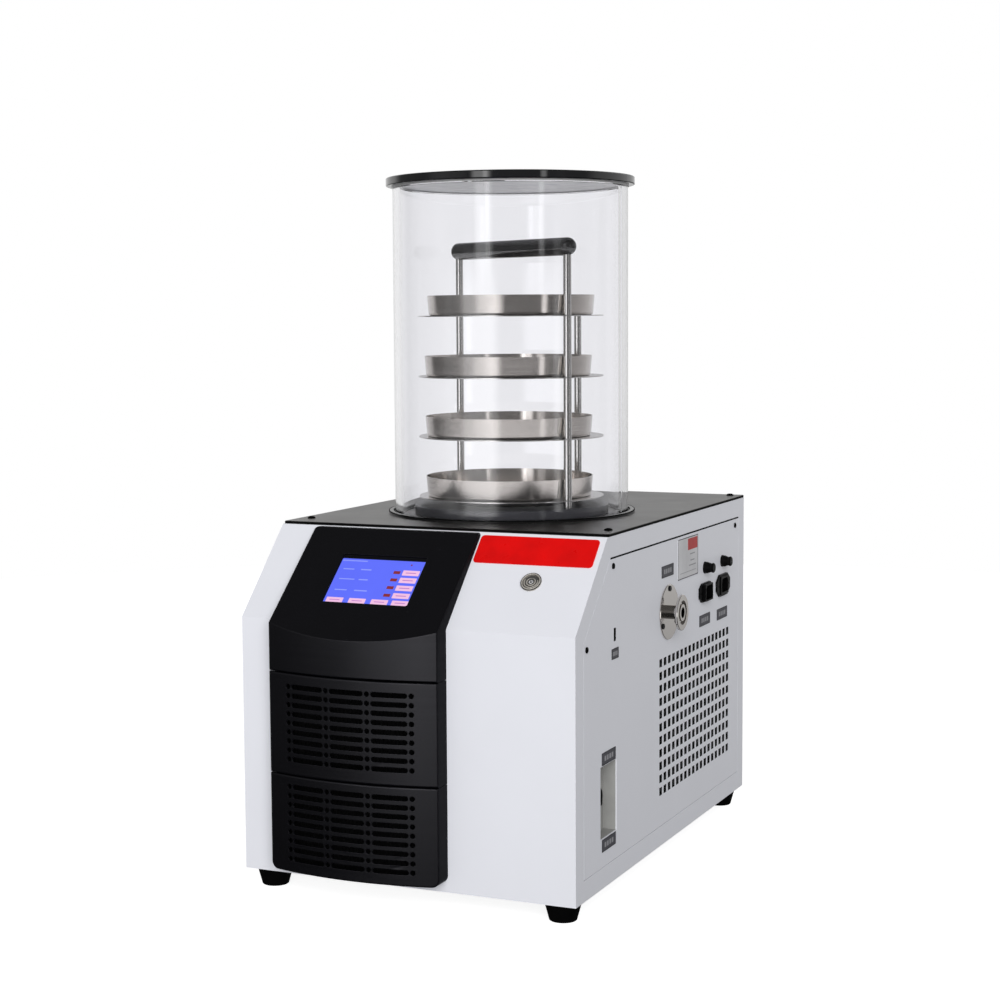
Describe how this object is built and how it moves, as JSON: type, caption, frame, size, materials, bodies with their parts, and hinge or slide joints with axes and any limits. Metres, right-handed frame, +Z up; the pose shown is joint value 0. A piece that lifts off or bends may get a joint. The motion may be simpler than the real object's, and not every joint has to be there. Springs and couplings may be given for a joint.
{
  "type": "laboratory freeze dryer",
  "caption": "Benchtop laboratory freeze dryer: box cabinet with a slanted control front, a clear drying chamber with a tray rack, and a side vacuum port.",
  "frame": {"origin": "on the floor under the feet, at the middle of the cabinet footprint", "axes": "+Z up, -Y towards the control front, +X towards the service side with the vacuum port"},
  "size_m": [0.3981, 0.6023, 0.7625],
  "materials": {
    "white_paint": "satin powder coat",
    "black_coated_metal": "satin black coat",
    "black_steel": "black oxide",
    "steel": "zinc plated",
    "zinc_steel": "zinc coated sheet",
    "polished_steel": "polished stainless",
    "stainless_steel": "brushed stainless",
    "black_rubber": "matte",
    "black_plastic": "fine texture",
    "black_gloss": "polished",
    "socket_plastic": "moulded",
    "screen_glass": "lit display",
    "clear_silicone": "translucent silicone",
    "circuit_board": "solder mask",
    "red_plastic": "smooth",
    "label_grey": "printed film",
    "label_white": "printed film",
    "brass": "turned",
    "hose": "soft silicone",
    "copper": "drawn tube",
    "foam": "closed-cell foam",
    "fin_aluminium": "mill finish",
    "motor_steel": "painted",
    "compressor_paint": "gloss black paint",
    "clear_acrylic": "polished clear acrylic"
  },
  "bodies": {
    "cabinet": {"base_pan": "zinc_steel", "chamber_cylinder": "clear_acrylic", "chamber_lid": "black_gloss", "cold_trap_well": "stainless_steel", "compressor": "compressor_paint", "compressor_mounts": "black_rubber", "condenser_coil": "fin_aluminium", "control_bezel": "black_plastic", "control_board": "circuit_board", "data_port": "steel", "display_board": "circuit_board", "drain_hose": "hose", "drain_pocket": "white_paint", "drain_valve_body": "brass", "evaporator_coil": "copper", "fan_motor": "motor_steel", "fan_shroud": "black_plastic", "feet": "black_rubber", "foot_screws": "steel", "front_badge": "red_plastic", "function_labels": "label_grey", "fuse_holders": "socket_plastic", "left_side_panel": "white_paint", "lid_gasket": "clear_silicone", "lower_grille": "black_plastic", "main_casing": "white_paint", "mains_inlet": "socket_plastic", "panel_screws": "black_steel", "power_button_body": "polished_steel", "power_button_nut": "steel", "power_supply": "zinc_steel", "pump_outlet": "socket_plastic", "rack_handle": "black_plastic", "rack_rods": "stainless_steel", "rating_plate": "label_white", "rear_panel": "white_paint", "refrigerant_pipes": "copper", "right_side_panel": "white_paint", "seal_ring": "black_rubber", "shelf_1": "stainless_steel", "shelf_2": "stainless_steel", "shelf_3": "stainless_steel", "shelf_4": "stainless_steel", "top_plate": "black_coated_metal", "top_plate_screws": "black_steel", "touch_screen": "screen_glass", "trap_cover": "black_plastic", "trap_insulation": "foam", "tray_1": "stainless_steel", "tray_2": "stainless_steel", "tray_3": "stainless_steel", "tray_4": "stainless_steel", "upper_grille": "black_plastic", "vacuum_port": "polished_steel", "vacuum_port_screws": "steel"},
    "power_button": {"power_button_cap": "polished_steel"},
    "front_fuse": {"front_fuse_cap": "socket_plastic"},
    "rear_fuse": {"rear_fuse_cap": "socket_plastic"},
    "drain_knob": {"drain_valve_knob": "black_plastic"},
    "fan": {"fan_blades": "black_plastic"}
  },
  "joints": [
    {"name": "power_button_press", "type": "slide", "parent": "cabinet", "child": "power_button", "axis": [0, 0.7071, -0.7071], "range_m": [0, 0.0018], "stiffness_N_per_m": 800, "springref_m": -0.002},
    {"name": "front_fuse_turn", "type": "hinge", "parent": "cabinet", "child": "front_fuse", "pos_m": [0.195, 0.1275, 0.313], "axis": [1, 0, 0], "range_deg": [0, 90]},
    {"name": "rear_fuse_turn", "type": "hinge", "parent": "cabinet", "child": "rear_fuse", "pos_m": [0.195, 0.1945, 0.313], "axis": [1, 0, 0], "range_deg": [0, 90]},
    {"name": "drain_knob_turn", "type": "hinge", "parent": "cabinet", "child": "drain_knob", "pos_m": [0.178, -0.1878, 0.1098], "axis": [1, 0, 0], "range_deg": [0, 90]},
    {"name": "fan_spin", "type": "hinge", "parent": "cabinet", "child": "fan", "pos_m": [-0.048, -0.2038, 0.133], "axis": [0, 1, 0], "continuous": true}
  ]
}
